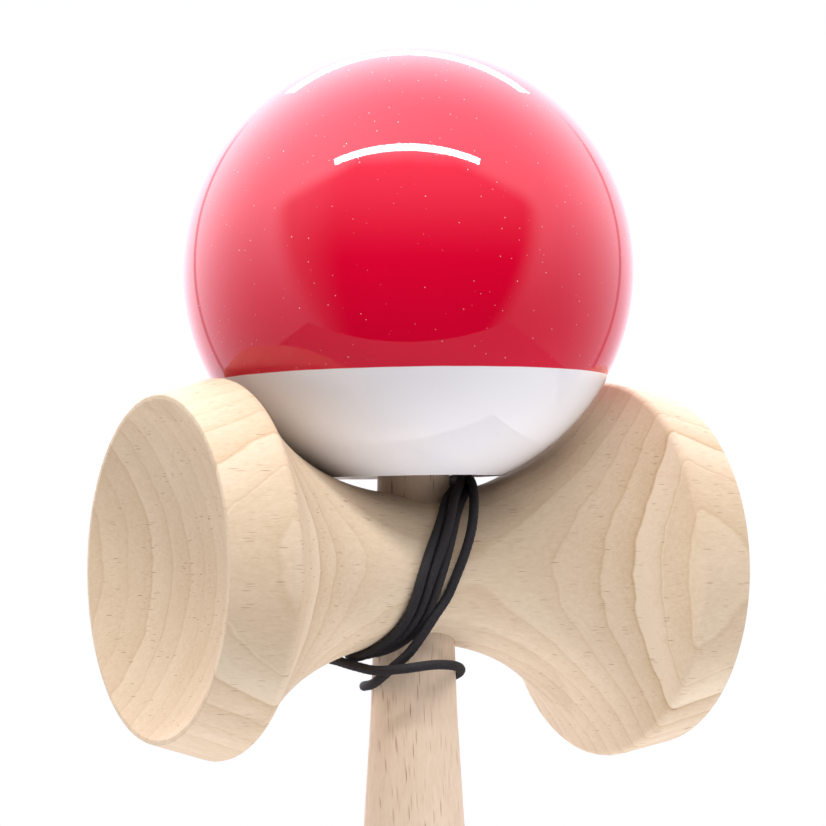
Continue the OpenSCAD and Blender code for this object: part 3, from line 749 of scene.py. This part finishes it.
# The paper also glows for diffuse bounces only: painted bounce light from below, less so towards the open
# side
before_toy = put(sheet, "ShaderNodeVectorMath", {0: on_table, 1: tuple(toward)},
                 operation="DOT_PRODUCT").outputs["Value"]
from_below = reckon(sheet, "MULTIPLY", sheet_rays["Is Diffuse Ray"],
                    eased(sheet, before_toy, 0.03, 0.17, 1.35, 0.4))
paper_bounce_glow = put(sheet, "ShaderNodeEmission", {"Color": (0.97, 1.0, 1.08, 1), "Strength": from_below})
paper_lit = put(sheet, "ShaderNodeAddShader", {0: paper_seen.outputs[0], 1: paper_bounce_glow.outputs[0]})
both = put(sheet, "ShaderNodeMixShader", {
    0: seen, 1: paper_lit.outputs[0], 2: plain_white.outputs[0]})
sheet.links.new(both.outputs[0], sheet.nodes["Material Output"].inputs[0])
table_mesh.materials.append(paper)

tent = bpy.data.worlds.new("light_tent")
bpy.context.scene.world = tent
tent.use_nodes = True
cloth = tent.node_tree
backing = cloth.nodes["Background"]
rays = put(cloth, "ShaderNodeLightPath").outputs
aim = put(cloth, "ShaderNodeTexCoord").outputs["Generated"]


def part_along(direction):
    """How far the view into the tent goes along a direction."""
    return put(cloth, "ShaderNodeVectorMath", {0: aim, 1: tuple(direction)},
               operation="DOT_PRODUCT").outputs["Value"]


ahead, aside, upward = part_along(toward), part_along(rightward), part_along((0, 0, 1))
level = reckon(cloth, "ARCSINE", upward)
bearing = reckon(cloth, "ARCTAN2", aside, ahead)
off_middle = reckon(cloth, "ABSOLUTE", bearing)
door_half, door_height, corner_from = math.radians(63), math.radians(53), math.radians(32)
door_side = reckon(cloth, "MULTIPLY_ADD", level, 0.33, door_half)
door_top = reckon(cloth, "MULTIPLY_ADD", off_middle, -0.08, door_height)
cut_corner = reckon(cloth, "MAXIMUM", reckon(cloth, "SUBTRACT", off_middle, corner_from), 0.0)
door_top = reckon(cloth, "MULTIPLY_ADD", cut_corner, -0.55, door_top)
past_side = reckon(cloth, "SUBTRACT", off_middle, door_side)
past_top = reckon(cloth, "SUBTRACT", level, door_top)
door = reckon(cloth, "MULTIPLY", eased(cloth, past_side, 0.10, -0.16), eased(cloth, past_top, 0.06, -0.14))
roof = eased(cloth, upward, -0.5, 0.85)
gleam = reckon(cloth, "MULTIPLY", eased(cloth, aside, -0.8, 0.8, 1.2, 0.8),
               reckon(cloth, "MULTIPLY_ADD", roof, 2.5, 0.72))
gleam = reckon(cloth, "MULTIPLY", gleam, eased(cloth, ahead, 0.2, -0.6, 1.0, 1.45))
seam_behind = 0.68
off_seam = reckon(cloth, "ABSOLUTE", reckon(cloth, "ADD", ahead, seam_behind))
seam = reckon(cloth, "MULTIPLY", eased(cloth, off_seam, 0.032, 0.010), eased(cloth, upward, 0.6, 0.4))
gleam = reckon(cloth, "MULTIPLY", gleam, reckon(cloth, "MULTIPLY_ADD", seam, -0.5, 1.0))
gleam_in_door = reckon(cloth, "ADD", eased(cloth, level, math.radians(-4), math.radians(48), 0.0, 0.95),
                       eased(cloth, bearing, math.radians(-30), math.radians(-64), 0.0, 0.75))
gleam = between(cloth, door, gleam, gleam_in_door)
glow = reckon(cloth, "ADD", eased(cloth, upward, 0.0, 0.85, 0.42, 1.44),
              eased(cloth, upward, -0.05, -0.5, 0.0, 1.0))
glow_in_door = eased(cloth, level, math.radians(8), math.radians(46), 0.05, 1.3)
glow = between(cloth, door, glow, glow_in_door)
light = between(cloth, rays["Is Camera Ray"], between(cloth, rays["Is Glossy Ray"], glow, gleam), 1.0)
cloth.links.new(light, backing.inputs["Strength"])
cast = blended(cloth, rays["Is Glossy Ray"], (1.0, 1.0, 1.03, 1), (1.0, 0.925, 1.03, 1))
cloth.links.new(cast, backing.inputs["Color"])


def strip_lamp(name, forward, height, length, width, power):
    """A long thin lamp in the tent's roof, facing the ball."""
    lamp = bpy.data.lights.new(name, "AREA")
    lamp.shape, lamp.size, lamp.size_y, lamp.energy = "RECTANGLE", length, width, power
    lamp.color = (1.0, 0.985, 1.0)
    hung = in_scene(name, lamp)
    place = ball_middle + toward * forward + Vector((0, 0, height))
    down = (ball_middle - place).normalized()
    hung.matrix_world = Matrix((rightward, (-down).cross(rightward), -down)).transposed().to_4x4()
    hung.matrix_world.translation = place
    hung.visible_camera = False


strip_lamp("front_strip", forward=0.195, height=0.26, length=0.38, width=0.022, power=1.15)
strip_lamp("back_strip", forward=-0.185, height=0.26, length=0.32, width=0.035, power=0.48)

# Camera
# Level with the cross-piece and a little to the small cup's side, looking slightly up.
pitch, roll = math.radians(3.101), math.radians(-0.137)
look = (Vector((0, 0, math.sin(pitch))) - toward * math.cos(pitch)).normalized()
right = rightward.normalized()
up = right.cross(look)
picture_px, focal_px = 826, 2967.4
eye = bpy.data.cameras.new("camera")
eye.sensor_width = 36
eye.lens = eye.sensor_width * focal_px / picture_px
camera = in_scene("camera", eye)
level_turn = Matrix((right, up, -look)).transposed().to_4x4()
camera.matrix_world = level_turn @ Matrix.Rotation(roll, 4, "Z")
stand = Vector((-188.51 * mm, -340.96 * mm, axis_h - 0.63 * mm))
camera.matrix_world.translation = stand
bpy.context.scene.camera = camera
bpy.context.scene.view_settings.view_transform = "Standard"
